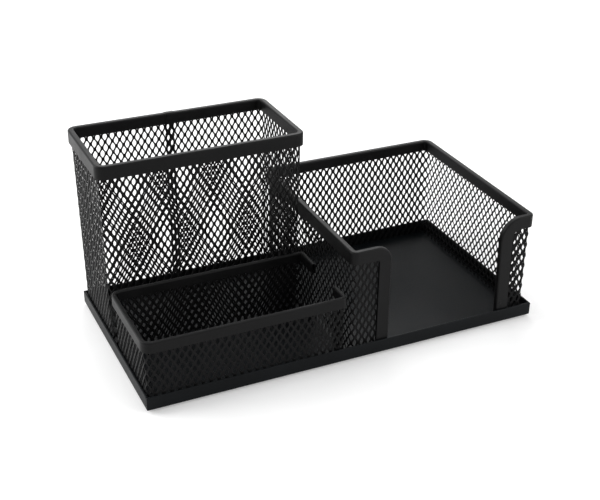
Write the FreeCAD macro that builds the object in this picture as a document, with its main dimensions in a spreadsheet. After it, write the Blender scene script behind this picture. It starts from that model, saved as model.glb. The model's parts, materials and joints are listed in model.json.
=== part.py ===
import FreeCAD, Part
import math
import os

import Sketcher

from FreeCAD import Vector

# A desk organizer of expanded steel mesh: a shallow base pan carries a tall pen cup at the back
# left, a low clip tray in front of it and a note holder with an open front on the right. Each
# mesh wall is one bent strip whose raw upper edge is held in a folded channel of sheet steel.
# The diamond openings are cut at three times the pitch of real mesh, a third as many each way.
#
# Frame: X to the right, Y to the back, Z up, in millimetres. The origin is the middle of the
# pan's footprint on the desk. Inside the bodies, lengths start at the pan's front left corner
# and heights at the underside of the pan.

# ------------------------------------------------------------------------------------------
# Driving sizes
# ------------------------------------------------------------------------------------------

SIZES = {
    # base pan
    "pan_width": 205.0,              # left to right, over the lips
    "pan_depth": 103.0,              # front to back, over the lips
    "pan_sheet": 0.5,                # steel of the pan's floor
    "lip_height": 7.0,               # from the underside of the pan
    "lip_thickness": 1.0,            # the lip is folded back on itself
    "hem_height": 4.6,               # how far the folded part of the lip comes down inside
    "lip_edge_radius": 0.4,          # rounding of the fold along the top of the lip
    "pan_bend_radius": 0.8,          # outer bend between the floor and the lips
    "corner_slit": 0.5,              # between the end of a side lip and the lip it meets
    "slit_depth": 5.0,               # from the top of the lip
    # feet
    "foot_diameter": 10.0,
    "foot_thickness": 1.0,
    "foot_inset": 12.0,              # from the pan's edges to a foot's middle
    # mesh and the channel on its edge
    "mesh_thickness": 0.6,
    "opening_width": 8.7,            # of a diamond opening, left to right
    "opening_pitch": 11.4,           # between openings side by side
    "opening_rise": 18.0,            # between openings above each other
    "weld_gap": 0.05,                # between a wall and the top of the lip it is welded to
    "band_sheet": 0.5,               # steel of the edge channels
    "band_bend": 0.3,                # inner radius of the channels' folds
    "band_clearance": 0.7,           # between the mesh and each leg of the channel
    "band_height": 6.5,              # outer leg of the channel
    "band_inner_height": 5.6,
    "corner_radius": 4.8,            # of the channels' outer corners, seen from above
    "tight_radius": 3.3,             # of the same at the note holder's front corners
    # pen cup
    "cup_side_gap": 3.95,            # from its mesh to the note holder's, at their feet
    "cup_depth": 47.2,               # of the mesh at its foot
    "cup_height": 97.0,              # from the floor of the pan to the top of the channel
    "cup_flare": 1.4,                # how far each wall leans outwards over its height
    "cup_lap": 4.5,                  # overlap of the mesh strip's ends at the back
    "cup_lap_position": 49.0,        # from the cup's left wall to the middle of the overlap
    "cup_lap_rise": 0.2,             # how far one end of the channel stands over the other
    # clip tray
    "tray_side_gap": 3.9,            # from its mesh to the note holder's
    "tray_rear_gap": 5.0,            # from its mesh to the cup's, at their feet
    "tray_height": 34.7,
    "tray_lip_gap": 0.1,             # from the lips to the tray's walls
    "tray_left_lean": 0.6,           # how far the left wall leans outwards
    "tray_band_clearance": 0.3,
    "tray_band_height": 5.4,
    "tray_band_inner_height": 4.7,
    "tray_tight_radius": 2.4,        # of the outer corners beside the open right end
    "tray_front_return": 11.0,       # length of the short walls at the open right end
    "tray_rear_return": 14.0,
    # note holder
    "holder_width": 98.4,
    "holder_height": 56.9,
    "holder_front_gap": 0.05,        # from the front lip to the channel behind it
    "holder_side_gap": 2.7,          # from the right lip to the mesh
    "holder_back_lean": 1.6,         # how far the back wall leans outwards
    "left_flap_straight": 10.1,      # level top of the left flap, between its two curves
    "left_flap_curve": 7.5,          # radius of the flap's upper inner corner
    "left_flap_spread": 0.2,         # how much wider the flap is at its foot
    "right_flap_straight": 4.5,
    "right_flap_curve": 11.0,
    "right_flap_waist": 1.4,         # how much narrower the flap is at its foot
}

document = FreeCAD.newDocument("desk_organizer")
sheet = document.addObject("Spreadsheet::Sheet", "Sizes")
for row, (alias, number) in enumerate(SIZES.items(), start=1):
    sheet.set(f"A{row}", alias)
    sheet.set(f"B{row}", str(number))
    sheet.setAlias(f"B{row}", alias)
document.recompute()


class Size:
    """A value known both as a number and as an expression on the sheet."""

    def __init__(self, number, text):
        self.number = number
        self.text = text

    def __add__(self, other):
        return Size(self.number + other.number, f"({self.text} + {other.text})")

    def __sub__(self, other):
        return Size(self.number - other.number, f"({self.text} - {other.text})")

    def __mul__(self, other):
        return Size(self.number * other.number, f"({self.text} * {other.text})")

    def __truediv__(self, other):
        return Size(self.number / other.number, f"({self.text} / {other.text})")

    def __neg__(self):
        return Size(-self.number, f"(0 - {self.text})")


def size(alias):
    return Size(SIZES[alias], f"Sizes.{alias}")


def count(number):
    return Size(number, str(number))


ZERO = count(0.0)
TWO = count(2.0)


class Box:
    """Left, right, front and back of a rectangle seen from above."""

    def __init__(self, left, right, front, back):
        self.left = left
        self.right = right
        self.front = front
        self.back = back

    def shrunk(self, margin):
        return Box(self.left + margin, self.right - margin, self.front + margin, self.back - margin)

    def grown(self, margin):
        return self.shrunk(-margin)

    def width(self):
        return self.right - self.left

    def depth(self):
        return self.back - self.front

    def middle(self):
        return (self.left + self.right) / TWO, (self.front + self.back) / TWO


class Channel:
    """An edge channel: half its thickness and groove, its two legs, and the radii of its path
    and of the mesh's outer face at the wide and at the tight corners, seen from above."""

    def __init__(self, clearance, height, inner_height, tight_radius):
        self.half_groove = size("mesh_thickness") / TWO + size(clearance)
        self.half = self.half_groove + size("band_sheet")
        self.height = size(height)
        self.inner_height = size(inner_height)
        self.path_radius = size("corner_radius") - self.half
        self.tight_path_radius = size(tight_radius) - self.half
        self.mesh_radius = self.path_radius + size("mesh_thickness") / TWO
        self.tight_mesh_radius = self.tight_path_radius + size("mesh_thickness") / TWO


# ------------------------------------------------------------------------------------------
# Places worked out from the sizes
# ------------------------------------------------------------------------------------------

# How far a cut through a wall starts and ends beyond that wall.
REACH = size("corner_radius")

floor = size("pan_sheet")
mesh = size("mesh_thickness")
half_mesh = mesh / TWO
inside_left = size("lip_thickness")
inside_right = size("pan_width") - size("lip_thickness")
inside_front = size("lip_thickness")
inside_back = size("pan_depth") - size("lip_thickness")

channel = Channel("band_clearance", "band_height", "band_inner_height", "tight_radius")
tray_channel = Channel(
    "tray_band_clearance", "tray_band_height", "tray_band_inner_height", "tray_tight_radius"
)
# A corner is named after the side that ends in it, run counter-clockwise.
HOLDER_TIGHT = ("front", "left")
TRAY_TIGHT = ("front", "right")

# A leaning wall meets the lip at the lip's top, so its foot stands further in by this share of
# its lean.
lip_rise = size("lip_height") - floor
holder_lean = size("holder_back_lean") / (size("holder_height") - size("band_sheet"))
holder_foot = Box(
    inside_right - size("holder_side_gap") - size("holder_width"),
    inside_right - size("holder_side_gap"),
    inside_front + size("holder_front_gap") + channel.half - half_mesh,
    inside_back - size("weld_gap") - holder_lean * lip_rise,
)
holder_head = Box(
    holder_foot.left,
    holder_foot.right,
    holder_foot.front,
    holder_foot.back + size("holder_back_lean"),
)
holder_top = floor + size("holder_height")
left_curve_start = holder_foot.left + channel.tight_mesh_radius + size("left_flap_straight")
right_curve_start = holder_foot.right - channel.tight_mesh_radius - size("right_flap_straight")
left_flap_foot = left_curve_start + size("left_flap_curve") + size("left_flap_spread")
right_flap_foot = right_curve_start - size("right_flap_curve") + size("right_flap_waist")

cup_lean = size("cup_flare") / (size("cup_height") - size("band_sheet"))
cup_gap = size("weld_gap") + cup_lean * lip_rise
cup_foot = Box(
    inside_left + cup_gap,
    holder_foot.left - size("cup_side_gap"),
    inside_back - cup_gap - size("cup_depth"),
    inside_back - cup_gap,
)
cup_head = cup_foot.grown(size("cup_flare"))
cup_top = floor + size("cup_height")

tray_lean = size("tray_left_lean") / (size("tray_height") - size("band_sheet"))
tray_foot = Box(
    inside_left + size("tray_lip_gap") + tray_lean * lip_rise,
    holder_foot.left - size("tray_side_gap"),
    inside_front + size("tray_lip_gap"),
    cup_foot.front - size("tray_rear_gap"),
)
tray_head = Box(
    tray_foot.left - size("tray_left_lean"), tray_foot.right, tray_foot.front, tray_foot.back
)
tray_top = floor + size("tray_height")
tray_gap_front = tray_foot.front + size("tray_front_return")
tray_gap_back = tray_foot.back - size("tray_rear_return")


# ------------------------------------------------------------------------------------------
# Bodies, sketches and features
# ------------------------------------------------------------------------------------------


def new_body(label):
    body = document.addObject("PartDesign::Body", label)
    body.Label = label
    body.setExpression("Placement.Base.x", (-size("pan_width") / TWO).text)
    body.setExpression("Placement.Base.y", (-size("pan_depth") / TWO).text)
    body.setExpression("Placement.Base.z", size("foot_thickness").text)
    return body


def new_sketch(body, name, plane, offset=ZERO):
    """A sketch on one of the body's own planes; offset is the place along the third axis."""
    sketch = body.newObject("Sketcher::SketchObject", name)
    plane_feature = [item for item in body.Origin.OriginFeatures if item.Role == plane][0]
    sketch.AttachmentSupport = [(plane_feature, "")]
    sketch.MapMode = "FlatFace"
    # The normal of the XZ plane points to the front, against the Y axis.
    along_normal = -offset if plane == "XZ_Plane" else offset
    sketch.setExpression("AttachmentOffset.Base.z", along_normal.text)
    return sketch


def constrain(sketch, kind, *elements):
    sketch.addConstraint(Sketcher.Constraint(kind, *elements))


def place(sketch, kind, length, *elements):
    """A dimension that follows the sheet; DistanceX and DistanceY start at the origin."""
    start = (-1, 1) if kind in ("DistanceX", "DistanceY") else ()
    index = sketch.addConstraint(Sketcher.Constraint(kind, *start, *elements, length.number))
    sketch.setExpression(f"Constraints[{index}]", length.text)


def add_line(sketch, start, end):
    return sketch.addGeometry(Part.LineSegment(Vector(*start, 0), Vector(*end, 0)), False)


def add_arc(sketch, middle, radius, start_angle, end_angle):
    circle = Part.Circle(Vector(*middle, 0), Vector(0, 0, 1), radius)
    arc = Part.ArcOfCircle(circle, math.radians(start_angle), math.radians(end_angle))
    return sketch.addGeometry(arc, False)


def draw_rectangle(sketch, left, right, low, high):
    corners = [
        (left.number, low.number),
        (right.number, low.number),
        (right.number, high.number),
        (left.number, high.number),
    ]
    lines = [add_line(sketch, corners[i], corners[(i + 1) % 4]) for i in range(4)]
    for i, kind in enumerate(("Horizontal", "Vertical", "Horizontal", "Vertical")):
        constrain(sketch, "Coincident", lines[i], 2, lines[(i + 1) % 4], 1)
        constrain(sketch, kind, lines[i])
    place(sketch, "DistanceX", left, lines[0], 1)
    place(sketch, "DistanceY", low, lines[0], 1)
    place(sketch, "DistanceX", right, lines[2], 1)
    place(sketch, "DistanceY", high, lines[2], 1)


def draw_rounded(sketch, box, radius, tight_radius=None, tight=(), gap=None):
    """A rectangle with round corners, run counter-clockwise. A corner named in tight has the
    tight radius. A gap is a side and the two places between which that side is open."""
    order = ["front", "right", "back", "left"]
    gap_side, gap_from, gap_to = gap or (None, None, None)
    first = order.index(gap_side) if gap_side else 0
    sides = [order[(first + i) % 4] for i in range(5 if gap_side else 4)]
    corner = {side: (tight_radius if side in tight else radius).number for side in order}
    low = Vector(box.left.number, box.front.number)
    high = Vector(box.right.number, box.back.number)
    front_right, back_right, back_left, front_left = (corner[side] for side in order)
    # start and end of each side, then the middle and the first angle of the corner after it
    layout = {
        "front": (
            (low.x + front_left, low.y),
            (high.x - front_right, low.y),
            (high.x - front_right, low.y + front_right),
            270,
        ),
        "right": (
            (high.x, low.y + front_right),
            (high.x, high.y - back_right),
            (high.x - back_right, high.y - back_right),
            0,
        ),
        "back": (
            (high.x - back_right, high.y),
            (low.x + back_left, high.y),
            (low.x + back_left, high.y - back_left),
            90,
        ),
        "left": (
            (low.x, high.y - back_left),
            (low.x, low.y + front_left),
            (low.x + front_left, low.y + front_left),
            180,
        ),
    }
    lines = []
    arcs = []
    for number, side in enumerate(sides):
        start, end, middle, angle = layout[side]
        level = side in ("front", "back")
        if gap and number == 0:
            start = (gap_to.number, start[1]) if level else (start[0], gap_to.number)
        if gap and number == 4:
            end = (gap_from.number, end[1]) if level else (end[0], gap_from.number)
        line = add_line(sketch, start, end)
        lines.append(line)
        constrain(sketch, "Horizontal" if level else "Vertical", line)
        place(sketch, "DistanceY" if level else "DistanceX", getattr(box, side), line, 1)
        if number < 4:
            arcs.append(add_arc(sketch, middle, corner[side], angle, angle + 90))
    for number, arc in enumerate(arcs):
        constrain(sketch, "Tangent", lines[number], 2, arc, 1)
        constrain(sketch, "Tangent", arc, 2, lines[(number + 1) % len(lines)], 1)
        place(sketch, "Radius", tight_radius if sides[number] in tight else radius, arc)
    if gap:
        along = "DistanceX" if gap_side in ("front", "back") else "DistanceY"
        place(sketch, along, gap_to, lines[0], 1)
        place(sketch, along, gap_from, lines[4], 2)


def draw_diamond(sketch, middle_across, middle_up):
    """An upright rhombus whose sides run parallel to the strands between the openings."""
    half_width = size("opening_width") / TWO
    half_height = half_width * size("opening_rise") / size("opening_pitch")
    corners = [
        (middle_across - half_width, middle_up),
        (middle_across, middle_up - half_height),
        (middle_across + half_width, middle_up),
        (middle_across, middle_up + half_height),
    ]
    points = [(across.number, up.number) for across, up in corners]
    lines = [add_line(sketch, points[i], points[(i + 1) % 4]) for i in range(4)]
    for i, (across, up) in enumerate(corners):
        constrain(sketch, "Coincident", lines[i], 2, lines[(i + 1) % 4], 1)
        place(sketch, "DistanceX", across, lines[i], 1)
        place(sketch, "DistanceY", up, lines[i], 1)


def draw_channel(sketch, kind, middle, top, outside, spare=ZERO):
    """Cross-section of an edge channel, open downwards, whose longer leg is on the left where
    outside is "left"; spare makes it larger all round."""
    outer = kind.half + spare
    bend = size("band_bend") + size("band_sheet") + spare
    crown = top + spare
    left, right = middle - outer, middle + outer
    groove_left, groove_right = middle - kind.half_groove, middle + kind.half_groove
    roof = top - size("band_sheet")
    left_leg, right_leg = kind.height, kind.inner_height
    if outside == "right":
        left_leg, right_leg = right_leg, left_leg
    left_foot, right_foot = top - left_leg, top - right_leg
    q = bend.number
    l, r, c = left.number, right.number, crown.number
    lf, rf = left_foot.number, right_foot.number
    gl, gr, u = groove_left.number, groove_right.number, roof.number
    left_side = add_line(sketch, (l, lf), (l, c - q))
    left_bend = add_arc(sketch, (l + q, c - q), q, 90, 180)
    crown_line = add_line(sketch, (l + q, c), (r - q, c))
    right_bend = add_arc(sketch, (r - q, c - q), q, 0, 90)
    right_side = add_line(sketch, (r, c - q), (r, rf))
    right_end = add_line(sketch, (r, rf), (gr, rf))
    right_inside = add_line(sketch, (gr, rf), (gr, u))
    roof_line = add_line(sketch, (gr, u), (gl, u))
    left_inside = add_line(sketch, (gl, u), (gl, lf))
    left_end = add_line(sketch, (gl, lf), (l, lf))
    constrain(sketch, "Tangent", left_side, 2, left_bend, 2)
    constrain(sketch, "Tangent", left_bend, 1, crown_line, 1)
    constrain(sketch, "Tangent", crown_line, 2, right_bend, 2)
    constrain(sketch, "Tangent", right_bend, 1, right_side, 1)
    chain = [right_side, right_end, right_inside, roof_line, left_inside, left_end, left_side]
    for before, after in zip(chain, chain[1:]):
        constrain(sketch, "Coincident", before, 2, after, 1)
    for line in (left_side, right_side, right_inside, left_inside):
        constrain(sketch, "Vertical", line)
    for line in (crown_line, right_end, roof_line, left_end):
        constrain(sketch, "Horizontal", line)
    constrain(sketch, "Equal", left_bend, right_bend)
    place(sketch, "Radius", bend, left_bend)
    place(sketch, "DistanceX", left, left_side, 1)
    place(sketch, "DistanceX", right, right_side, 1)
    place(sketch, "DistanceX", groove_right, right_inside, 1)
    place(sketch, "DistanceX", groove_left, left_inside, 1)
    place(sketch, "DistanceY", crown, crown_line, 1)
    place(sketch, "DistanceY", roof, roof_line, 1)
    place(sketch, "DistanceY", left_foot, left_side, 1)
    place(sketch, "DistanceY", right_foot, right_side, 2)


def draw_flap_edge(sketch, curve_start, top, radius, foot, low, side, guide=None):
    """The curve and the straight edge of a flap; side is 1 where it lies right of the curve's
    start and -1 where it lies left. With a guide, the arc and line of another flap edge, it runs
    alongside that edge. Returns the arc, its upper end and the line."""
    centre = (curve_start.number, top.number - radius.number)
    lean = math.degrees(
        math.atan2(side * (foot.number - centre[0]) - radius.number, centre[1] - low.number)
    )
    start_angle, end_angle = (lean, 90) if side > 0 else (90, 180 - lean)
    arc = add_arc(sketch, centre, radius.number, start_angle, end_angle)
    upper_end, lower_end = (2, 1) if side > 0 else (1, 2)
    joint = (
        centre[0] + side * radius.number * math.cos(math.radians(lean)),
        centre[1] + radius.number * math.sin(math.radians(lean)),
    )
    line = add_line(sketch, joint, (foot.number, low.number))
    if guide:
        guide_arc, guide_line = guide
        constrain(sketch, "Coincident", arc, 3, guide_arc, 3)
        constrain(sketch, "Parallel", line, guide_line)
    else:
        place(sketch, "DistanceX", curve_start, arc, 3)
        place(sketch, "DistanceY", top - radius, arc, 3)
        place(sketch, "DistanceX", foot, line, 2)
    place(sketch, "Radius", radius, arc)
    constrain(sketch, "Vertical", arc, upper_end, arc, 3)
    constrain(sketch, "Tangent", arc, lower_end, line, 1)
    place(sketch, "DistanceY", low, line, 2)
    return arc, upper_end, line


def widen(feature, slope):
    """Let a pad or a pocket grow by this share of its length on every side."""
    if slope:
        feature.setExpression("TaperAngle", f"atan({slope.text})")


def pad(body, name, sketch, length, reverse=False, slope=None):
    feature = body.newObject("PartDesign::Pad", name)
    feature.Profile = sketch
    feature.Reversed = reverse
    feature.setExpression("Length", length.text)
    widen(feature, slope)
    return feature


def pocket(body, name, sketch, length, reverse=False, slope=None):
    """A cut that has to take something away."""
    document.recompute()
    before = body.Shape.Volume
    feature = body.newObject("PartDesign::Pocket", name)
    feature.Profile = sketch
    feature.Reversed = reverse
    feature.setExpression("Length", length.text)
    widen(feature, slope)
    document.recompute()
    if not body.Shape.Volume < before:
        raise RuntimeError(f"{name} cuts nothing")
    return feature


def loft(body, name, kind, lower, upper):
    feature = body.newObject(f"PartDesign::{kind}Loft", name)
    feature.Profile = lower
    feature.Sections = [upper]
    feature.Ruled = True
    return feature


def pipe(body, name, profile, path):
    feature = body.newObject("PartDesign::AdditivePipe", name)
    feature.Profile = profile
    feature.Spine = (path, [])
    return feature


def fillet_edges(body, name, base, radius, wanted):
    """Round every edge of the base feature whose bounding box passes the test."""
    document.recompute()
    names = [
        f"Edge{number}"
        for number, edge in enumerate(base.Shape.Edges, start=1)
        if wanted(edge.BoundBox)
    ]
    if not names:
        raise RuntimeError(f"{name} finds no edge")
    feature = body.newObject("PartDesign::Fillet", name)
    feature.Base = (base, names)
    feature.setExpression("Radius", radius.text)
    return feature


# ------------------------------------------------------------------------------------------
# Base pan
# ------------------------------------------------------------------------------------------

TOUCH = 1e-4


def make_pan():
    body = new_body("base_pan")
    width, depth, lip = size("pan_width"), size("pan_depth"), size("lip_height")
    thickness = size("lip_thickness")
    outline = new_sketch(body, "pan_outline", "XY_Plane")
    draw_rectangle(outline, ZERO, width, ZERO, depth)
    block = pad(body, "pan_block", outline, lip)
    bends = fillet_edges(
        body, "pan_bends", block, size("pan_bend_radius"), lambda box: box.ZMax < TOUCH
    )
    hollow = new_sketch(body, "pan_hollow_outline", "XY_Plane", lip)
    draw_rectangle(hollow, thickness, width - thickness, thickness, depth - thickness)
    hollow_cut = pocket(body, "pan_hollow", hollow, lip - floor)
    top = lip.number
    folds = fillet_edges(
        body, "lip_folds", hollow_cut, size("lip_edge_radius"), lambda box: box.ZMin > top - TOUCH
    )
    hem_end = lip - size("hem_height")
    under_hem = new_sketch(body, "under_hem_outline", "XY_Plane", hem_end)
    draw_rectangle(under_hem, floor, width - floor, floor, depth - floor)
    pocket(body, "under_hem", under_hem, hem_end - floor)
    # Each side lip stops short of the front and back lips.
    slit = size("corner_slit")
    slits = new_sketch(body, "corner_slits_outline", "XY_Plane", lip)
    for left, right in ((-slit, thickness), (width - thickness, width + slit)):
        for front, back in (
            (thickness, thickness + slit),
            (depth - thickness - slit, depth - thickness),
        ):
            draw_rectangle(slits, left, right, front, back)
    pocket(body, "corner_slits", slits, size("slit_depth"))
    return body


# ------------------------------------------------------------------------------------------
# Mesh walls
# ------------------------------------------------------------------------------------------


def make_walls(body, kind, foot, head, top, tight=()):
    """A bent strip of mesh all the way round, from the floor to the roof of its channel."""
    mesh_top = top - size("band_sheet")
    for name, sort, margin in (("outside", "Additive", ZERO), ("inside", "Subtractive", mesh)):
        ends = []
        for level, box, height in (("foot", foot, floor), ("head", head, mesh_top)):
            sketch = new_sketch(body, f"{body.Label}_{name}_{level}", "XY_Plane", height)
            wide_radius, tight_radius = kind.mesh_radius - margin, kind.tight_mesh_radius - margin
            draw_rounded(sketch, box.shrunk(margin), wide_radius, tight_radius, tight)
            ends.append(sketch)
        loft(body, f"{body.Label}_{name}", sort, *ends)


def number_in(room, spacing, spare):
    return max(1, math.floor(room.number / spacing.number + spare))


def cut_openings(body, name, plane, offset, depth, middle, room, staggered=True):
    """A grid of diamond openings about a middle, cut from the offset inwards, as many as the
    room across and up holds. A staggered grid has another row between two rows and another
    column between two columns."""
    pitch, rise = size("opening_pitch"), size("opening_rise")
    wide = size("opening_width")
    spare = 0.5 if staggered else 1.0
    columns = number_in(room[0] - wide, pitch, 0.5)
    rows = number_in(room[1] - wide * rise / pitch, rise, spare)
    across = middle[0] - pitch / TWO * count(columns - spare)
    up = middle[1] - rise / TWO * count(rows - spare)
    outline = new_sketch(body, f"{name}_outline", plane, offset)
    draw_diamond(outline, across, up)
    if staggered:
        draw_diamond(outline, across + pitch / TWO, up + rise / TWO)
    first = pocket(body, name, outline, depth)
    grid = body.newObject("PartDesign::MultiTransform", f"{name}_grid")
    grid.Refine = False
    grid.Originals = [first]
    steps = []
    for axis, number, spacing in (("H_Axis", columns, pitch), ("V_Axis", rows, rise)):
        if number > 1:
            step = body.newObject("PartDesign::LinearPattern", f"{name}_{axis}")
            step.Direction = (outline, [axis])
            step.Occurrences = number
            step.setExpression("Length", (spacing * count(number - 1)).text)
            steps.append(step)
    grid.Transformations = steps
    body.Tip = grid


def between_lip_and(top):
    """Middle and height of the wall that shows between the pan's lip and a level."""
    return (size("lip_height") + top) / TWO, top - size("lip_height")


def make_cup_mesh():
    body = new_body("pen_cup_mesh")
    foot_radius = channel.mesh_radius - size("cup_flare")
    wall_height = cup_top - size("band_sheet") - floor
    outside = new_sketch(body, "cup_outside_foot", "XY_Plane", floor)
    draw_rounded(outside, cup_foot, foot_radius)
    pad(body, "cup_outside", outside, wall_height, slope=cup_lean)
    inside = new_sketch(body, "cup_inside_foot", "XY_Plane", floor)
    draw_rounded(inside, cup_foot.shrunk(mesh), foot_radius - mesh)
    pocket(body, "cup_inside", inside, wall_height, reverse=True, slope=cup_lean)
    # The ends of the strip overlap behind the back wall's middle.
    lap_left = cup_foot.left + size("cup_lap_position") - size("cup_lap") / TWO
    lap_right = lap_left + size("cup_lap")
    lap_top = cup_top - channel.height
    ends = []
    for level, height in (("foot", floor), ("head", lap_top)):
        back = cup_foot.back + cup_lean * (height - floor) - mesh
        sketch = new_sketch(body, f"mesh_lap_{level}", "XY_Plane", height)
        draw_rectangle(sketch, lap_left, lap_right, back - mesh, back)
        ends.append(sketch)
    loft(body, "mesh_lap", "Additive", *ends)
    along_front, along_side = cup_foot.middle()
    up, open_height = between_lip_and(cup_top - channel.height)
    corners = channel.mesh_radius * TWO
    front, reach = cup_foot.front - REACH, cup_foot.depth() + REACH * TWO
    room = (cup_foot.width() - corners, open_height)
    cut_openings(body, "front_openings", "XZ_Plane", front, reach, (along_front, up), room)
    side, reach = cup_foot.right + REACH, cup_foot.width() + REACH * TWO
    room = (cup_foot.depth() - corners, open_height)
    cut_openings(body, "side_openings", "YZ_Plane", side, reach, (along_side, up), room)
    return body


def make_tray_mesh():
    body = new_body("tray_mesh")
    make_walls(body, tray_channel, tray_foot, tray_head, tray_top, TRAY_TIGHT)
    opening = new_sketch(body, "tray_side_opening", "YZ_Plane", tray_foot.right + REACH)
    draw_rectangle(opening, tray_gap_front, tray_gap_back, ZERO, tray_top)
    pocket(body, "tray_side", opening, REACH * TWO)
    along_front, along_side = tray_foot.middle()
    up, open_height = between_lip_and(tray_top - tray_channel.height)
    corners = tray_channel.mesh_radius * TWO
    front, reach = tray_foot.front - REACH, tray_foot.depth() + REACH * TWO
    room = (tray_foot.width() - corners, open_height)
    cut_openings(body, "front_openings", "XZ_Plane", front, reach, (along_front, up), room, False)
    side, reach = tray_foot.left + REACH, REACH * TWO
    room = (tray_foot.depth() - corners, open_height)
    cut_openings(body, "side_openings", "YZ_Plane", side, reach, (along_side, up), room, False)
    return body


def make_holder_mesh():
    body = new_body("note_holder_mesh")
    make_walls(body, channel, holder_foot, holder_head, holder_top, HOLDER_TIGHT)
    front = holder_foot.front
    opening = new_sketch(body, "holder_front_opening", "XZ_Plane", front - REACH)
    draw_rectangle(opening, left_curve_start, right_curve_start, ZERO, holder_top)
    pocket(body, "holder_front", opening, REACH * TWO)
    roof = holder_top - size("band_sheet")
    for name, start, curve, foot, side in (
        ("left", left_curve_start, "left_flap_curve", left_flap_foot, 1),
        ("right", right_curve_start, "right_flap_curve", right_flap_foot, -1),
    ):
        # The mesh ends at the roof of the channel, which follows the flap's outer edge.
        outline = new_sketch(body, f"{name}_flap_outline", "XZ_Plane", front)
        guide_arc, _, guide_line = draw_flap_edge(
            outline, start, holder_top, size(curve), foot, ZERO, side
        )
        outline.toggleConstruction(guide_arc)
        outline.toggleConstruction(guide_line)
        radius = size(curve) - size("band_sheet")
        arc, upper_end, edge = draw_flap_edge(
            outline, start, roof, radius, foot, floor, side, (guide_arc, guide_line)
        )
        base_corner = (start.number, floor.number)
        low = add_line(outline, (foot.number, floor.number), base_corner)
        back_up = add_line(outline, base_corner, (start.number, roof.number))
        constrain(outline, "Coincident", edge, 2, low, 1)
        constrain(outline, "Horizontal", low)
        constrain(outline, "Coincident", low, 2, back_up, 1)
        constrain(outline, "Coincident", back_up, 2, arc, upper_end)
        constrain(outline, "Vertical", back_up)
        pad(body, f"{name}_flap", outline, mesh, reverse=True)
    along_back, along_side = holder_foot.middle()
    up, open_height = between_lip_and(holder_top - channel.height)
    corners = channel.mesh_radius * TWO
    back, reach = holder_foot.back - REACH, REACH * TWO
    room = (holder_foot.width() - corners, open_height)
    cut_openings(body, "back_openings", "XZ_Plane", back, reach, (along_back, up), room)
    side, reach = holder_foot.right + REACH, holder_foot.width() + REACH * TWO
    room = (holder_foot.depth() - corners, open_height)
    cut_openings(body, "side_openings", "YZ_Plane", side, reach, (along_side, up), room)
    mesh_end = left_curve_start + size("left_flap_curve") - channel.height
    along_flap = (holder_foot.left + mesh_end) / TWO
    front, reach = holder_foot.front - REACH, REACH * TWO
    room = (mesh_end - holder_foot.left, open_height)
    cut_openings(body, "flap_openings", "XZ_Plane", front, reach, (along_flap, up), room, False)
    return body


# ------------------------------------------------------------------------------------------
# Edge channels
# ------------------------------------------------------------------------------------------


def make_cup_rim():
    body = new_body("pen_cup_rim")
    line = cup_head.shrunk(half_mesh)
    path = new_sketch(body, "cup_rim_path", "XY_Plane", cup_top)
    draw_rounded(path, line, channel.path_radius)
    section = new_sketch(body, "cup_rim_section", "YZ_Plane", line.left + channel.path_radius)
    draw_channel(section, channel, line.front, cup_top, "left")
    pipe(body, "cup_rim_channel", section, path)
    # One end of the channel is folded over the other behind the back wall's middle.
    lap_left = cup_foot.left + size("cup_lap_position") - size("cup_lap") / TWO
    lap_section = new_sketch(body, "cup_rim_lap_section", "YZ_Plane", lap_left)
    draw_channel(lap_section, channel, line.back, cup_top, "right", size("cup_lap_rise"))
    pad(body, "cup_rim_lap", lap_section, size("cup_lap"))
    return body


def make_tray_rim():
    body = new_body("tray_rim")
    line = tray_head.shrunk(half_mesh)
    path = new_sketch(body, "tray_rim_path", "XY_Plane", tray_top)
    draw_rounded(
        path, line, tray_channel.path_radius, tray_channel.tight_path_radius, TRAY_TIGHT,
        ("right", tray_gap_front, tray_gap_back),
    )
    section = new_sketch(body, "tray_rim_section", "XZ_Plane", tray_gap_back)
    draw_channel(section, tray_channel, line.right, tray_top, "right")
    pipe(body, "tray_rim_channel", section, path)
    return body


def make_holder_rim():
    body = new_body("note_holder_rim")
    line = holder_head.shrunk(half_mesh)
    path = new_sketch(body, "holder_rim_path", "XY_Plane", holder_top)
    draw_rounded(
        path, line, channel.path_radius, channel.tight_path_radius, HOLDER_TIGHT,
        ("front", left_curve_start, right_curve_start),
    )
    section = new_sketch(body, "holder_rim_section", "YZ_Plane", right_curve_start)
    draw_channel(section, channel, line.front, holder_top, "left")
    pipe(body, "holder_rim_channel", section, path)
    for name, start, curve, foot, side in (
        ("left", left_curve_start, "left_flap_curve", left_flap_foot, 1),
        ("right", right_curve_start, "right_flap_curve", right_flap_foot, -1),
    ):
        edge_path = new_sketch(body, f"{name}_edge_path", "XZ_Plane", line.front)
        draw_flap_edge(edge_path, start, holder_top, size(curve), foot, ZERO, side)
        edge_section = new_sketch(body, f"{name}_edge_section", "YZ_Plane", start)
        draw_channel(edge_section, channel, line.front, holder_top, "left")
        pipe(body, f"{name}_edge_channel", edge_section, edge_path)
    # The channel's two ends are cut level where they stand on the pan.
    level = new_sketch(body, "channel_ends_outline", "XY_Plane", floor)
    draw_rectangle(
        level, holder_foot.left, holder_foot.right, ZERO, holder_foot.front + channel.height
    )
    pocket(body, "channel_ends", level, channel.height)
    return body


# ------------------------------------------------------------------------------------------
# Feet
# ------------------------------------------------------------------------------------------


def make_feet():
    feet = []
    across = size("pan_width") / TWO - size("foot_inset")
    along = size("pan_depth") / TWO - size("foot_inset")
    for row_name, y in (("front", -along), ("rear", along)):
        for side_name, x in (("left", -across), ("right", across)):
            label = f"foot_{row_name}_{side_name}"
            foot = document.addObject("Part::Cylinder", label)
            foot.Label = label
            foot.setExpression("Radius", (size("foot_diameter") / TWO).text)
            foot.setExpression("Height", size("foot_thickness").text)
            foot.setExpression("Placement.Base.x", x.text)
            foot.setExpression("Placement.Base.y", y.text)
            feet.append(foot)
    return feet


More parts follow.
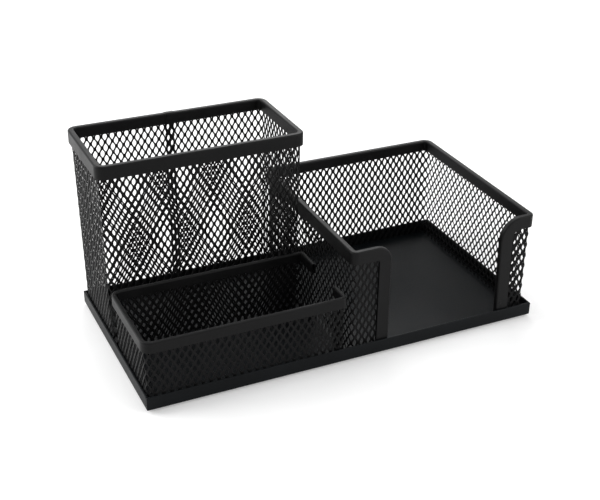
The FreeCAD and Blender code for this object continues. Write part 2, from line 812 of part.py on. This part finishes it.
# ------------------------------------------------------------------------------------------
# Build, test and write
# ------------------------------------------------------------------------------------------

parts = [
    make_pan(),
    make_cup_mesh(),
    make_cup_rim(),
    make_tray_mesh(),
    make_tray_rim(),
    make_holder_mesh(),
    make_holder_rim(),
] + make_feet()
document.recompute()

for item in document.Objects:
    if "Invalid" in item.State or "Error" in item.State:
        raise RuntimeError(f"{item.Label} failed to build: {item.State}")
for part in parts:
    if part.Shape.isNull() or not part.Shape.isValid():
        raise RuntimeError(f"{part.Label} has no valid shape")
    if len(part.Shape.Solids) != 1:
        raise RuntimeError(f"{part.Label} is {len(part.Shape.Solids)} solids")

os.makedirs("parts", exist_ok=True)
for part in parts:
    part.Shape.exportStep(f"parts/{part.Label}.step")
    box = part.Shape.BoundBox
    print(
        f"{part.Label:18s} volume {part.Shape.Volume:9.1f}"
        f"  x {box.XMin:8.2f} {box.XMax:8.2f}  y {box.YMin:8.2f} {box.YMax:8.2f}"
        f"  z {box.ZMin:6.2f} {box.ZMax:6.2f}"
    )
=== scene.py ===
"""A desk organizer of expanded steel mesh, dressed around its fixed CAD frame."""

import json
import math
from typing import NamedTuple

import bmesh
import bpy
from bpy.props import FloatProperty, FloatVectorProperty, PointerProperty
from mathutils import Matrix, Vector

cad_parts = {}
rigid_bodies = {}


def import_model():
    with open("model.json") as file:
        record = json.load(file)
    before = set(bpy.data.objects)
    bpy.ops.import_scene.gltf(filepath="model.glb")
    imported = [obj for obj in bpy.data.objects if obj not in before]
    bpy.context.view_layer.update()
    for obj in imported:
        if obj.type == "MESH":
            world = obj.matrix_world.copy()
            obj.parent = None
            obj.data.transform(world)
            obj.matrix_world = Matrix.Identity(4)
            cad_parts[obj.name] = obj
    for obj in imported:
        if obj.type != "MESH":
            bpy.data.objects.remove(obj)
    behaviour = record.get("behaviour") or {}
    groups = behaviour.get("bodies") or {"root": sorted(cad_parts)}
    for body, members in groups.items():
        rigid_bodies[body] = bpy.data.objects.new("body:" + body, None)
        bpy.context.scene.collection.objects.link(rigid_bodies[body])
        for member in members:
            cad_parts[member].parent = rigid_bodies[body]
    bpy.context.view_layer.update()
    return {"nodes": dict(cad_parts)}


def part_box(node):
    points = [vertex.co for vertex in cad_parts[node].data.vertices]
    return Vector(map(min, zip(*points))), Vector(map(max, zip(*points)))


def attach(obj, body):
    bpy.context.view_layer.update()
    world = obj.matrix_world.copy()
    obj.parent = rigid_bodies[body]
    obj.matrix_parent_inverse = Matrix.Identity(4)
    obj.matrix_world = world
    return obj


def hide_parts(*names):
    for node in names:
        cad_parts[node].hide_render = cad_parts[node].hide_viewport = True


bl_info = {
    "name": "Mesh Desk Organizer",
    "version": (1, 0, 0),
    "blender": (4, 5, 0),
    "location": "3D View > Sidebar > Organizer",
    "description": (
        "Weaves the expanded mesh walls of a desk organizer and finishes its steel pieces"
    ),
    "category": "Add Mesh",
}

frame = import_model()

MM = 0.001

# The weave: how far the corners at an opening's sides and at its tips are cut back, as a share of
# a diamond's height, and how many diamonds to spare a strip has each way before it is trimmed.
SIDE_ROUNDING = 0.11
TIP_ROUNDING = 0.04
SPARE_DIAMONDS = 3
# Points this close are joined, in the flat strip and in the bent one.
FLAT_JOIN = 0.005 * MM
BENT_JOIN = 0.02 * MM
# The bends: straight runs in a quarter turn.
BEND_STEPS = 10
# The flaps: straight cuts round an upper corner, how far inside its curve they lie, and how far
# before the start of the curve they begin.
FLAP_CUTS = 7
FLAP_INSET = 0.05 * MM
FLAP_REACH = 1.0 * MM

# The powder coat: how fine its clouds and its dust are, how light it is where it is thin, thick
# or dusty, and how deep its orange peel is.
CLOUD_SCALE = 60
DUST_SCALE = 900
THIN, THICK, DUSTY = 0.82, 1.2, 2.2
PEEL_DEPTH = 0.02 * MM
# The spot welds on the note holder's channel, one on each flap. They rise by so many times the
# depth of the orange peel.
CHANNEL_WELDS = ((0.0121, -0.0505, 0.0494), (0.0844, -0.0505, 0.0116))
WELD_RADIUS = 0.9 * MM
WELD_RISE = 9.0

# The stage: the floor's width, how fine and how dark its grain is and how brightly it glows as
# background, each lamp's name, place, size and power, and the point that the lamps face.
FLOOR_WIDTH = 1.6
FLOOR_GRAIN = 120
FLOOR_SHADE = 0.985
FLOOR_GLOW = 0.22
LAMPS = (
    ("side_softbox", (-0.85, 0.5, 0.55), 0.7, 10.5),
    ("top_softbox", (0.1, 0.2, 1.3), 1.2, 6.0),
    ("rear_softbox", (0.35, 0.85, 0.6), 0.5, 2.5),
    ("fill_softbox", (0.5, -0.5, 0.35), 0.45, 2.4),
)
LAMP_TARGET = Vector((0, 0, 0.03))


# ------------------------------------------------------------------------------------------
# Sizes and colours
# ------------------------------------------------------------------------------------------


def offset(name, description, millimetres, **limits):
    """A distance that may be negative."""
    return FloatProperty(
        name=name,
        description=description,
        default=millimetres * MM,
        precision=5,
        subtype="DISTANCE",
        unit="LENGTH",
        **limits,
    )


def length(name, description, millimetres):
    """A distance that isn't negative."""
    return offset(name, description, millimetres, min=0.0)


def colour(name, description, value):
    return FloatVectorProperty(
        name=name, description=description, default=value, size=3, min=0, max=1, subtype="COLOR"
    )


class MeshSizes(bpy.types.PropertyGroup):
    """Sizes of the expanded mesh and of the strips that it is bent from"""

    pen_cup_diamond: length("Cup Diamond", "Distance between the cup's diamonds side by side", 3.55)
    tray_diamond: length("Tray Diamond", "Distance between the tray's diamonds side by side", 3.77)
    note_holder_diamond: length("Holder Diamond", "Distance between the holder's diamonds", 3.77)
    diamond_height: length("Diamond Height", "Distance between diamonds on top of each other", 5.9)
    pen_cup_strand: length("Cup Strand", "Width of a strand of the pen cup's mesh", 0.76)
    tray_strand: length("Tray Strand", "Width of a strand of the tray's mesh", 0.88)
    note_holder_strand: length("Holder Strand", "Width of a strand of the note holder's mesh", 0.94)
    pen_cup_twist: offset("Cup Twist", "How far the cup's strands stand out of the wall", -0.06)
    tray_twist: offset("Tray Twist", "How far the tray's strands stand out of the wall", 0.1)
    note_holder_twist: offset("Holder Twist", "How far the holder's strands stand out", 0.3)
    pen_cup_shift: offset("Cup Shift", "From the end of the cup's strip to a diamond", -0.75)
    pen_cup_rise: length("Cup Rise", "From the cup's foot up to a diamond", 1.16)
    tray_shift: offset("Tray Shift", "From the end of the tray's strip to a diamond", -1.6)
    tray_rise: length("Tray Rise", "From the tray's foot up to a diamond", 0.4)
    note_holder_shift: offset("Holder Shift", "From the end of its strip to a diamond", 0.9)
    note_holder_rise: length("Holder Rise", "From the holder's foot up to a diamond", 0.9)
    sheet: length("Sheet", "Thickness of the steel that the mesh is made of", 0.3)
    wall: length("Wall", "Depth of the finished mesh, as the frame has it", 0.6)
    cup_corner: length("Cup Corner", "Radius of the cup's corners at the middle of the mesh", 2.6)
    cup_flare: length("Cup Flare", "How far each wall of the pen cup leans outwards", 1.4)
    cup_lap: length("Cup Lap", "Width of the overlap of the pen cup's strip", 4.5)
    cup_lap_place: length("Cup Lap Place", "From the cup's left wall to the overlap's middle", 49.0)
    tray_left_corner: length("Tray Left Corner", "Radius of the tray's left corners", 3.7)
    tray_right_corner: length("Tray Right Corner", "Radius beside the tray's open end", 1.3)
    tray_lean: length("Tray Lean", "How far the tray's left wall leans outwards", 0.6)
    tray_front_return: length("Tray Front Return", "Short wall at the front of the open end", 11.0)
    tray_rear_return: length("Tray Rear Return", "Short wall at the back of the open end", 14.0)
    holder_front_corner: length("Holder Front Corner", "Radius of the holder's front corners", 1.8)
    holder_back_corner: length("Holder Back Corner", "Radius of the holder's back corners", 3.3)
    holder_lean: length("Holder Lean", "How far the note holder's back leans outwards", 1.6)
    left_flap: length("Left Flap", "From the holder's left side to the top's curve", 12.2)
    left_flap_curve: length("Left Flap Curve", "Radius of the mesh at its left corner", 7.0)
    left_flap_spread: length("Left Flap Spread", "How much wider the left flap is at its foot", 0.2)
    right_flap: length("Right Flap", "From the holder's right side to the top's curve", 6.6)
    right_flap_curve: length("Right Flap Curve", "Radius of the mesh at its right corner", 10.5)
    right_flap_waist: length("Right Flap Waist", "How much narrower the flap is at its foot", 1.4)


class CoatColours(bpy.types.PropertyGroup):
    """Colours of the powder coats and of the feet"""

    pan: colour("Pan", "Coat of the base pan", (0.0040, 0.0048, 0.0056))
    mesh: colour("Mesh", "Coat of the expanded mesh", (0.004, 0.004, 0.0042))
    channel: colour("Channel", "Coat of the edge channels", (0.004, 0.004, 0.0042))
    rubber: colour("Rubber", "Foam rubber of the feet", (0.03, 0.03, 0.03))


class StudioSettings(bpy.types.PropertyGroup):
    """Floor, lamps and camera"""

    floor: colour("Floor", "Colour of the floor", (0.86, 0.86, 0.86))
    room: FloatProperty(
        name="Room", description="Light from all round, where 1 is white", default=0.4, min=0
    )
    lens: FloatProperty(
        name="Focal Length", description="Lens of the camera", default=68.397, min=1, unit="CAMERA"
    )
    camera_place: FloatVectorProperty(
        name="Camera Place",
        description="Where the camera stands",
        default=(-0.217856, -0.452786, 0.309222),
        subtype="TRANSLATION",
        unit="LENGTH",
    )
    camera_yaw: FloatProperty(
        name="Camera Yaw", description="Turn to the right", default=0.4416, subtype="ANGLE"
    )
    camera_pitch: FloatProperty(
        name="Camera Pitch", description="Tilt upwards", default=-0.4993, subtype="ANGLE"
    )
    camera_roll: FloatProperty(
        name="Camera Roll", description="Roll about the view", default=0.0145, subtype="ANGLE"
    )


# ------------------------------------------------------------------------------------------
# Modelling
# ------------------------------------------------------------------------------------------


class Outline(NamedTuple):
    """The sides of a piece as seen from above"""

    left: float
    right: float
    front: float
    back: float


def pick(piece):
    """Select this piece alone and make it active."""
    bpy.ops.object.select_all(action="DESELECT")
    piece.select_set(True)
    bpy.context.view_layer.objects.active = piece


def discard(helper):
    """Delete a helper object together with its data."""
    data = helper.data
    bpy.data.objects.remove(helper)
    bpy.data.batch_remove([data])


def apply(piece, kind, **settings):
    """Add a modifier with these settings and apply it."""
    pick(piece)
    modifier = piece.modifiers.new(kind, kind)
    for name, value in settings.items():
        setattr(modifier, name, value)
    bpy.ops.object.modifier_apply(modifier=modifier.name)


def select_where(piece, elements, test):
    """Select the vertices or faces of the piece in edit mode that pass the test."""
    bpy.ops.mesh.select_mode(type="VERT" if elements == "verts" else "FACE")
    bpy.ops.mesh.select_all(action="DESELECT")
    shape = bmesh.from_edit_mesh(piece.data)
    for element in getattr(shape, elements):
        place = element.co if elements == "verts" else element.calc_center_median()
        if test(place):
            element.select_set(True)
    bmesh.update_edit_mesh(piece.data)


def cut(piece, place, outward, reach=lambda point: True):
    """Cut the flat sheet along a plane, within reach, and take away what lies outside."""
    select_where(piece, "faces", reach)
    bpy.ops.mesh.bisect(plane_co=place, plane_no=outward, clear_outer=True)


def sweep_loose():
    """Take away the vertices and edges that the cuts leave without a face."""
    bpy.ops.mesh.select_mode(type="VERT")
    bpy.ops.mesh.select_all(action="SELECT")
    bpy.ops.mesh.delete_loose(use_verts=True, use_edges=True, use_faces=False)


def diamond(width, height, strand, twist):
    """One diamond of the mesh in the XZ plane: half of each of the four strands about it."""
    bpy.ops.object.select_all(action="DESELECT")
    bpy.ops.mesh.primitive_circle_add(
        vertices=4, radius=0.5, fill_type="NGON", rotation=(math.pi / 2, 0, 0)
    )
    cell = bpy.context.object
    bpy.ops.object.transform_apply(location=False, rotation=True, scale=False)
    bpy.ops.object.mode_set(mode="EDIT")
    bpy.ops.mesh.select_all(action="SELECT")
    bpy.ops.transform.resize(value=(width, 1, height))
    bpy.ops.mesh.select_mode(type="FACE")
    bpy.ops.mesh.inset(thickness=strand / 2, depth=0)
    bpy.ops.mesh.delete(type="ONLY_FACE")

    def at_opening(distance, size):
        """Is a corner this far from the middle one of the opening, and not one of the cell?"""
        return 0.2 * size < distance < 0.48 * size

    # The opening's left and right corners are pulled out of the sheet, one to each side.
    for side in (-1, 1):
        select_where(cell, "verts", lambda p: at_opening(p.x * side, width))
        bpy.ops.transform.translate(value=(0, side * twist, 0))
        bpy.ops.mesh.bevel(offset=SIDE_ROUNDING * height, affect="VERTICES", segments=1)
    select_where(cell, "verts", lambda p: at_opening(abs(p.z), height))
    bpy.ops.mesh.bevel(offset=TIP_ROUNDING * height, affect="VERTICES", segments=1)
    bpy.ops.object.mode_set(mode="OBJECT")
    return cell


def diamond_sheet(piece, run, low, high):
    """A flat strip of this piece's mesh from x 0 to run and from z low to high."""
    sizes = bpy.context.scene.mesh_sizes
    height = sizes.diamond_height
    wanted = ("diamond", "strand", "twist", "shift", "rise")
    width, strand, twist, shift, rise = [getattr(sizes, f"{piece}_{name}") for name in wanted]
    sheet = diamond(width, height, strand, twist)
    sheet.name = sheet.data.name = f"{piece}_weave"
    columns = math.ceil(run / width) + SPARE_DIAMONDS
    rows = math.ceil((high - low) / height) + SPARE_DIAMONDS
    for count, step in (
        (2, (width / 2, 0, height / 2)),
        (columns, (width, 0, 0)),
        (rows, (0, 0, height)),
    ):
        apply(
            sheet,
            "ARRAY",
            count=count,
            use_relative_offset=False,
            use_constant_offset=True,
            constant_offset_displace=step,
        )
    bpy.ops.object.mode_set(mode="EDIT")
    bpy.ops.mesh.select_all(action="SELECT")
    bpy.ops.transform.translate(value=(shift - width, 0, low + rise - height))
    bpy.ops.mesh.remove_doubles(threshold=FLAT_JOIN)
    for place, outward in (
        ((0, 0, 0), (-1, 0, 0)),
        ((run, 0, 0), (1, 0, 0)),
        ((0, 0, low), (0, 0, -1)),
        ((0, 0, high), (0, 0, 1)),
    ):
        cut(sheet, place, outward)
    sweep_loose()
    bpy.ops.object.mode_set(mode="OBJECT")
    return sheet


def bend(sheet, points):
    """Bend a flat strip round a route on the floor."""
    guide = bpy.data.curves.new("bend_line", "CURVE")
    guide.dimensions = "3D"
    guide.twist_mode = "Z_UP"
    line = guide.splines.new("POLY")
    line.points.add(len(points) - 1)
    for point, place in zip(line.points, points):
        point.co = (*place, 0, 1)
    guide_object = bpy.data.objects.new("bend_line", guide)
    bpy.context.scene.collection.objects.link(guide_object)
    apply(sheet, "CURVE", object=guide_object, deform_axis="POS_X")
    discard(guide_object)
    bpy.ops.object.mode_set(mode="EDIT")
    bpy.ops.mesh.select_all(action="SELECT")
    bpy.ops.mesh.remove_doubles(threshold=BENT_JOIN)
    bpy.ops.object.mode_set(mode="OBJECT")


def thicken(sheet):
    """Give the strip the thickness of its steel, half to each side."""
    apply(sheet, "SOLIDIFY", thickness=bpy.context.scene.mesh_sizes.sheet, offset=0)


def lean(sheet, foot, head, low, high):
    """Lean the walls from their foot's outline at low to their head's outline at high."""
    bpy.ops.object.select_all(action="DESELECT")
    bpy.ops.object.add(type="LATTICE")
    cage = bpy.context.object
    for axis in "uvw":
        setattr(cage.data, f"points_{axis}", 2)
        setattr(cage.data, f"interpolation_type_{axis}", "KEY_LINEAR")
    left, right, front, back = foot
    cage.location = ((left + right) / 2, (front + back) / 2, (low + high) / 2)
    cage.scale = (right - left, back - front, high - low)
    bpy.context.view_layer.update()
    into_cage = cage.matrix_world.inverted()
    for point in cage.data.points:
        if point.co.z > 0:
            x = head.left if point.co.x < 0 else head.right
            y = head.front if point.co.y < 0 else head.back
            point.co_deform = into_cage @ Vector((x, y, high))
    apply(sheet, "LATTICE", object=cage)
    discard(cage)


def round_corner(middle, radius, start_angle):
    """Points of a quarter turn to the left."""
    angles = [math.radians(start_angle + 90 * i / BEND_STEPS) for i in range(BEND_STEPS + 1)]
    return [(middle[0] + radius * math.cos(a), middle[1] + radius * math.sin(a)) for a in angles]


def corners(outline, radii):
    """The four corners of an outline: front right, back right, back left, front left."""
    left, right, front, back = outline
    front_right, back_right, back_left, front_left = radii
    return [
        round_corner((right - front_right, front + front_right), front_right, 270),
        round_corner((right - back_right, back - back_right), back_right, 0),
        round_corner((left + back_left, back - back_left), back_left, 90),
        round_corner((left + front_left, front + front_left), front_left, 180),
    ]


def run_of(points):
    """The length of a route."""
    return sum(math.dist(a, b) for a, b in zip(points, points[1:]))


def outline_of(node):
    """A node's outline, with the levels of its foot and its top."""
    low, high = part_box(node)
    return Outline(low.x, high.x, low.y, high.y), low.z, high.z


def inset(outline, margin):
    """The outline with each side moved in by the margin."""
    left, right, front, back = outline
    return Outline(left + margin, right - margin, front + margin, back - margin)


def finish_mesh(piece, node):
    """Give a mesh wall its coat and let it stand for its plain node."""
    piece.data.materials.append(mesh_coat())
    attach(piece, "root")
    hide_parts(node)


# ------------------------------------------------------------------------------------------
# Finishes
# ------------------------------------------------------------------------------------------


class Field:
    """A node's output that takes part in arithmetic by adding Math nodes."""

    def __init__(self, shader, socket):
        self.shader = shader
        self.socket = socket

    def __add__(self, other):
        return self.shader.node("ShaderNodeMath", {"operation": "ADD"}, [self, other])

    __radd__ = __add__


class Shader:
    """A material's or world's node tree, built from nodes and fields."""

    def __init__(self, owner):
        owner.use_nodes = True
        self.tree = owner.node_tree
        self.tree.nodes.clear()

    def node(self, kind, settings=None, inputs=(), output=0):
        """Add a node: its settings first, then its inputs by place or by name."""
        node = self.tree.nodes.new(kind)
        for name, value in (settings or {}).items():
            setattr(node, name, value)
        pairs = inputs.items() if isinstance(inputs, dict) else enumerate(inputs)
        for key, value in pairs:
            if isinstance(value, Field):
                self.tree.links.new(value.socket, node.inputs[key])
            else:
                node.inputs[key].default_value = value
        return Field(self, node.outputs[output]) if len(node.outputs) else None

    def place(self):
        """The point on the piece, in metres."""
        return self.node("ShaderNodeTexCoord", output="Object")

    def background_rays(self):
        """1 for the rays that show the background: to the camera, off gloss and through glass."""
        rays = ("Is Camera Ray", "Is Glossy Ray", "Is Transmission Ray")
        seen, mirrored, through = [self.node("ShaderNodeLightPath", output=ray) for ray in rays]
        return seen + mirrored + through

    def noise(self, scale, detail):
        inputs = {"Vector": self.place(), "Scale": scale, "Detail": detail}
        return self.node("ShaderNodeTexNoise", inputs=inputs)

    def mix(self, factor, first, second):
        """A blend of two colours, whose sockets have no name of their own."""
        inputs = {"Factor": factor, 6: first, 7: second}
        return self.node("ShaderNodeMix", {"data_type": "RGBA"}, inputs, output=2)

    def spread(self, field, low, high, bottom, top):
        """The field's range from low to high laid over bottom to top."""
        return self.node("ShaderNodeMapRange", inputs=[field, low, high, bottom, top])

    def with_welds(self, field, welds):
        """The field with a low cone on each spot weld."""
        settings = {"operation": "DISTANCE"}
        for weld in welds:
            gap = self.node("ShaderNodeVectorMath", settings, [self.place(), weld], "Value")
            field = field + self.spread(gap, 0.0, WELD_RADIUS, WELD_RISE, 0.0)
        return field

    def bump(self, height, depth):
        inputs = {"Strength": 1.0, "Distance": depth, "Height": height}
        return self.node("ShaderNodeBump", inputs=inputs)

    def surface(self, **inputs):
        """The Principled surface, with an underscore for each space in a socket's name."""
        names = {name.replace("_", " "): value for name, value in inputs.items()}
        shader = self.node("ShaderNodeBsdfPrincipled", inputs=names)
        self.node("ShaderNodeOutputMaterial", inputs={"Surface": shader})


def rgba(tint, gain=1.0):
    """A colour for a socket, made lighter or darker by the gain."""
    return (*[min(1.0, channel * gain) for channel in tint], 1.0)


def coat(name, tint, roughness, grain, specular, welds=()):
    """Powder coat on steel: fine orange peel, thin and thick places, a little dust.

    The spot welds under it show as low round bumps.
    """
    material = bpy.data.materials.new(name)
    shader = Shader(material)
    cloud = shader.noise(CLOUD_SCALE, detail=3)
    peel = shader.noise(grain, detail=2)
    dust = shader.noise(DUST_SCALE, detail=1)
    thickness = shader.spread(cloud, 0.35, 0.65, 0.0, 1.0)
    speck = shader.spread(dust, 0.68, 0.8, 0.0, 0.35)
    body = shader.mix(thickness, rgba(tint, THIN), rgba(tint, THICK))
    shader.surface(
        Base_Color=shader.mix(speck, body, rgba(tint, DUSTY)),
        Roughness=shader.spread(cloud + peel, 0.7, 1.3, roughness - 0.05, roughness + 0.07),
        Specular_IOR_Level=specular,
        Normal=shader.bump(shader.with_welds(peel, welds), PEEL_DEPTH),
    )
    return material


def shared_coat(name, tint, **finish):
    """The coat of this name, made when it is first asked for."""
    return bpy.data.materials.get(name) or coat(name, tint, **finish)


def mesh_coat():
    tint = bpy.context.scene.coat_colours.mesh
    return shared_coat("mesh_powder", tint, roughness=0.5, grain=2600, specular=0.1)


def channel_coat():
    tint = bpy.context.scene.coat_colours.channel
    finish = {"roughness": 0.4, "grain": 1900, "specular": 0.12, "welds": CHANNEL_WELDS}
    return shared_coat("channel_powder", tint, **finish)


def pan_coat():
    tint = bpy.context.scene.coat_colours.pan
    return shared_coat("pan_powder", tint, roughness=0.42, grain=1600, specular=0.09)


def foot_rubber():
    tint = bpy.context.scene.coat_colours.rubber
    return shared_coat("foot_foam", tint, roughness=0.85, grain=1400, specular=0.3)


def dress(node, material):
    """Give a node that is shown as it is its finish."""
    piece = frame["nodes"][node]
    piece.data.materials.clear()
    piece.data.materials.append(material)


# ------------------------------------------------------------------------------------------
# Stage
# ------------------------------------------------------------------------------------------


def lay_floor(tint):
    bpy.ops.object.select_all(action="DESELECT")
    bpy.ops.mesh.primitive_plane_add(size=FLOOR_WIDTH)
    floor = bpy.context.object
    floor.name = "floor"
    material = bpy.data.materials.new("floor_paper")
    shader = Shader(material)
    grain = shader.noise(FLOOR_GRAIN, detail=2)
    shader.surface(
        Base_Color=shader.mix(grain, rgba(tint, FLOOR_SHADE), rgba(tint)),
        Roughness=0.9,
        Specular_IOR_Level=0.0,
        Emission_Color=shader.mix(shader.background_rays(), (0, 0, 0, 1), (1, 1, 1, 1)),
        Emission_Strength=FLOOR_GLOW,
    )
    floor.data.materials.append(material)


def light_room(level):
    """Light from all round at this level, which is white where it shows as background."""
    world = bpy.data.worlds.new("studio")
    bpy.context.scene.world = world
    sky = Shader(world)
    room = sky.node("ShaderNodeBackground", inputs=[(1, 1, 1, 1), level])
    white = sky.node("ShaderNodeBackground", inputs=[(1, 1, 1, 1), 1.0])
    both = sky.node("ShaderNodeMixShader", inputs=[sky.background_rays(), room, white])
    sky.node("ShaderNodeOutputWorld", inputs={"Surface": both})


def hang_lamps():
    for name, place, size, power in LAMPS:
        bpy.ops.object.light_add(type="AREA", location=place)
        lamp = bpy.context.object
        lamp.name = name
        lamp.data.size = size
        lamp.data.energy = power
        aim = LAMP_TARGET - Vector(place)
        lamp.rotation_euler = aim.to_track_quat("-Z", "Y").to_euler()


def set_up_camera(studio):
    bpy.ops.object.camera_add(location=studio.camera_place)
    camera = bpy.context.object
    turn = (
        Matrix.Rotation(-studio.camera_yaw, 3, "Z")
        @ Matrix.Rotation(math.pi / 2 + studio.camera_pitch, 3, "X")
        @ Matrix.Rotation(studio.camera_roll, 3, "Z")
    )
    camera.rotation_euler = turn.to_euler()
    camera.data.lens = studio.lens
    camera.data.sensor_width = 36
    camera.data.clip_start = 0.01
    bpy.context.scene.camera = camera


# ------------------------------------------------------------------------------------------
# Operators
# ------------------------------------------------------------------------------------------


class ORGANIZER_OT_pen_cup(bpy.types.Operator):
    """Weave and bend the pen cup's mesh, with its lap in the middle of the back wall"""

    bl_idname = "organizer.pen_cup"
    bl_label = "Pen Cup Mesh"

    def execute(self, context):
        sizes = context.scene.mesh_sizes
        head, low, high = outline_of("pen_cup_mesh")
        foot = inset(head, sizes.cup_flare)
        line = inset(foot, sizes.wall / 2)
        front_right, back_right, back_left, front_left = corners(line, [sizes.cup_corner] * 4)
        # The strip starts inside the lap, goes once round the cup and ends outside the lap.
        lap_right = foot.left + sizes.cup_lap_place + sizes.cup_lap / 2
        lap_left = lap_right - sizes.cup_lap
        inner = line.back - sizes.wall
        points = [(lap_right, inner), (lap_left, inner), (lap_left - sizes.wall, line.back)]
        points += [*back_left, *front_left, *front_right, *back_right, (lap_left, line.back)]
        sheet = diamond_sheet("pen_cup", run_of(points), low, high)
        bend(sheet, points)
        thicken(sheet)
        lean(sheet, foot, head, low, high)
        finish_mesh(sheet, "pen_cup_mesh")
        return {"FINISHED"}


class ORGANIZER_OT_tray(bpy.types.Operator):
    """Weave and bend the tray's mesh, open at its right end"""

    bl_idname = "organizer.tray"
    bl_label = "Tray Mesh"

    def execute(self, context):
        sizes = context.scene.mesh_sizes
        head, low, high = outline_of("tray_mesh")
        foot = head._replace(left=head.left + sizes.tray_lean)
        line = inset(foot, sizes.wall / 2)
        right, left = sizes.tray_right_corner, sizes.tray_left_corner
        front_right, back_right, back_left, front_left = corners(line, (right, right, left, left))
        start = (line.right, foot.back - sizes.tray_rear_return)
        end = (line.right, foot.front + sizes.tray_front_return)
        points = [start, *back_right, *back_left, *front_left, *front_right, end]
        sheet = diamond_sheet("tray", run_of(points), low, high)
        bend(sheet, points)
        thicken(sheet)
        lean(sheet, foot, head, low, high)
        finish_mesh(sheet, "tray_mesh")
        return {"FINISHED"}


class ORGANIZER_OT_note_holder(bpy.types.Operator):
    """Weave and bend the note holder's mesh, which ends in two flaps with rounded corners"""

    bl_idname = "organizer.note_holder"
    bl_label = "Note Holder Mesh"

    def execute(self, context):
        sizes = context.scene.mesh_sizes
        head, low, high = outline_of("note_holder_mesh")
        foot = head._replace(back=head.back - sizes.holder_lean)
        line = inset(foot, sizes.wall / 2)
        near, far = sizes.holder_front_corner, sizes.holder_back_corner
        front_right, back_right, back_left, front_left = corners(line, (near, far, far, near))
        left_curve, left_radius = foot.left + sizes.left_flap, sizes.left_flap_curve
        right_curve, right_radius = foot.right - sizes.right_flap, sizes.right_flap_curve
        start = (right_curve - right_radius, line.front)
        end = (left_curve + left_radius + sizes.left_flap_spread, line.front)
        points = [start, *front_right, *back_right, *back_left, *front_left, end]
        run = run_of(points)
        sheet = diamond_sheet("note_holder", run, low, high)
        bpy.ops.object.mode_set(mode="EDIT")
        # Where the top's curve starts along the strip, its radius, how much wider the flap is at
        # its foot, and the side that its end lies on.
        flaps = (
            (run + left_curve - end[0], left_radius, sizes.left_flap_spread, 1),
            (right_curve - start[0], right_radius, -sizes.right_flap_waist, -1),
        )
        for curve, radius, spread, side in flaps:
            middle = Vector((curve, 0, high - radius))
            tilt = math.atan2(spread, middle.z - low)
            turns = [tilt + (math.pi / 2 - tilt) * i / FLAP_CUTS for i in range(FLAP_CUTS)]
            for turn in turns:
                outward = Vector((side * math.cos(turn), 0, math.sin(turn)))
                place = middle + (radius - FLAP_INSET) * outward
                cut(sheet, place, outward, lambda p: (p.x - curve) * side > -FLAP_REACH)
        sweep_loose()
        bpy.ops.object.mode_set(mode="OBJECT")
        bend(sheet, points)
        thicken(sheet)
        lean(sheet, foot, head, low, high)
        finish_mesh(sheet, "note_holder_mesh")
        return {"FINISHED"}


class ORGANIZER_OT_steel(bpy.types.Operator):
    """Coat the base pan and the edge channels, and finish the feet"""

    bl_idname = "organizer.steel"
    bl_label = "Pan, Channels and Feet"

    def execute(self, context):
        dress("base_pan", pan_coat())
        for node in ("pen_cup_rim", "tray_rim", "note_holder_rim"):
            dress(node, channel_coat())
        for node in ("foot_front_left", "foot_front_right", "foot_rear_left", "foot_rear_right"):
            dress(node, foot_rubber())
        return {"FINISHED"}


class ORGANIZER_OT_stage(bpy.types.Operator):
    """Lay the floor, hang the lamps and set up the camera"""

    bl_idname = "organizer.stage"
    bl_label = "Stage"

    def execute(self, context):
        studio = context.scene.studio_settings
        lay_floor(studio.floor)
        light_room(studio.room)
        hang_lamps()
        set_up_camera(studio)
        context.scene.view_settings.view_transform = "Standard"
        return {"FINISHED"}


class ORGANIZER_PT_panel(bpy.types.Panel):
    """Sizes, colours and steps of the desk organizer"""

    bl_idname = "ORGANIZER_PT_panel"
    bl_label = "Mesh Desk Organizer"
    bl_space_type = "VIEW_3D"
    bl_region_type = "UI"
    bl_category = "Organizer"

    def draw(self, context):
        for settings in (
            context.scene.mesh_sizes,
            context.scene.coat_colours,
            context.scene.studio_settings,
        ):
            box = self.layout.box()
            for name in settings.__annotations__:
                box.prop(settings, name)
        for step in STEPS:
            self.layout.operator(step.bl_idname)


STEPS = (
    ORGANIZER_OT_pen_cup,
    ORGANIZER_OT_tray,
    ORGANIZER_OT_note_holder,
    ORGANIZER_OT_steel,
    ORGANIZER_OT_stage,
)
SETTINGS = {
    "mesh_sizes": MeshSizes,
    "coat_colours": CoatColours,
    "studio_settings": StudioSettings,
}


def register():
    for name, group in SETTINGS.items():
        bpy.utils.register_class(group)
        setattr(bpy.types.Scene, name, PointerProperty(type=group))
    for part in (*STEPS, ORGANIZER_PT_panel):
        bpy.utils.register_class(part)


def unregister():
    for part in reversed((*STEPS, ORGANIZER_PT_panel)):
        bpy.utils.unregister_class(part)
    for name, group in SETTINGS.items():
        delattr(bpy.types.Scene, name)
        bpy.utils.unregister_class(group)


def main():
    register()
    bpy.ops.organizer.pen_cup()
    bpy.ops.organizer.tray()
    bpy.ops.organizer.note_holder()
    bpy.ops.organizer.steel()
    bpy.ops.organizer.stage()


if __name__ == "__main__":
    main()
